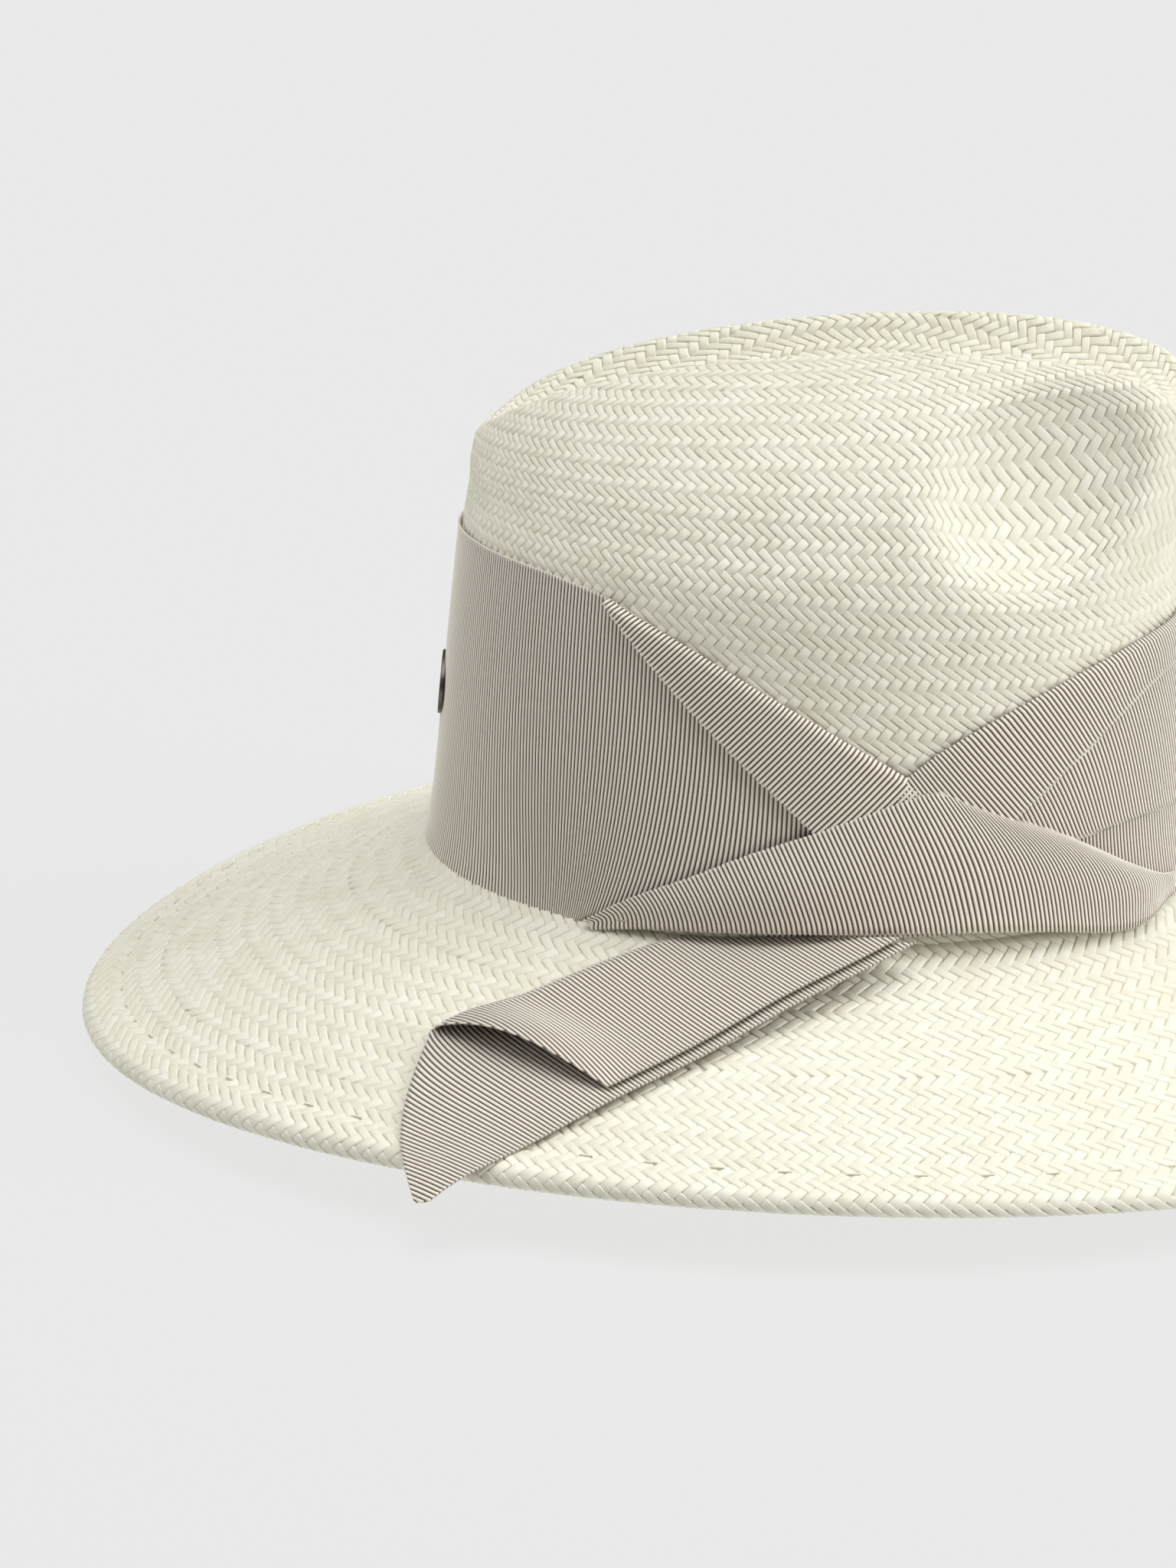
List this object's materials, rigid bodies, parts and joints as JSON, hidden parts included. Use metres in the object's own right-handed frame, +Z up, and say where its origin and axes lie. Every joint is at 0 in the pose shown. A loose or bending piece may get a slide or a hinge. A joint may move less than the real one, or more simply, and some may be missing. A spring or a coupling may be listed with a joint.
{
  "type": "panama hat",
  "caption": "Woven straw hat with a creased crown, a wide sloping brim with a turned hem, and a broad ribbed ribbon crossed and tied on one side with a free folded tail.",
  "frame": {"origin": "middle of the crown on the surface that the hat stands on", "axes": "+X to the front of the hat, -Y to the side with the tied ribbon, +Z up"},
  "size_m": [0.384, 0.3578, 0.1831],
  "materials": {
    "straw": "hand-woven bleached straw, slight sheen",
    "reed": "plain",
    "straw_thread": "twisted thread",
    "sweatband_cloth": "ribbed cotton tape",
    "label_cloth": "woven satin",
    "ribbon": "ribbed ribbon, soft sheen",
    "badge_metal": "dark brushed",
    "ribbon_thread": "twisted thread"
  },
  "bodies": {
    "hat": {"straw_crown": "straw", "straw_brim": "straw", "brim_hem": "straw", "brim_reed": "reed", "hem_stitches": "straw_thread", "sweatband": "sweatband_cloth", "sweatband_stitches": "straw_thread", "size_label": "label_cloth", "ribbon_band": "ribbon", "ribbon_left_fold": "ribbon", "ribbon_right_strip": "ribbon", "ribbon_right_layer": "ribbon", "knot_wrap": "ribbon", "badge_plate": "badge_metal", "badge_washer": "badge_metal", "tack_stitches": "ribbon_thread"},
    "tail": {"tail_lower_leaf": "ribbon"},
    "tail_flap": {"tail_upper_leaf": "ribbon"}
  },
  "joints": [
    {"name": "tail_lift", "type": "hinge", "parent": "hat", "child": "tail", "pos_m": [0.0016, -0.0914, 0.0471], "axis": [-0.9921, 0.0733, -0.1015], "range_deg": [0, 15]},
    {"name": "tail_flap_open", "type": "hinge", "parent": "tail", "child": "tail_flap", "pos_m": [-0.0281, -0.0891, 0.0444], "axis": [-0.799, -0.5506, -0.2416], "range_deg": [0, 20]}
  ]
}
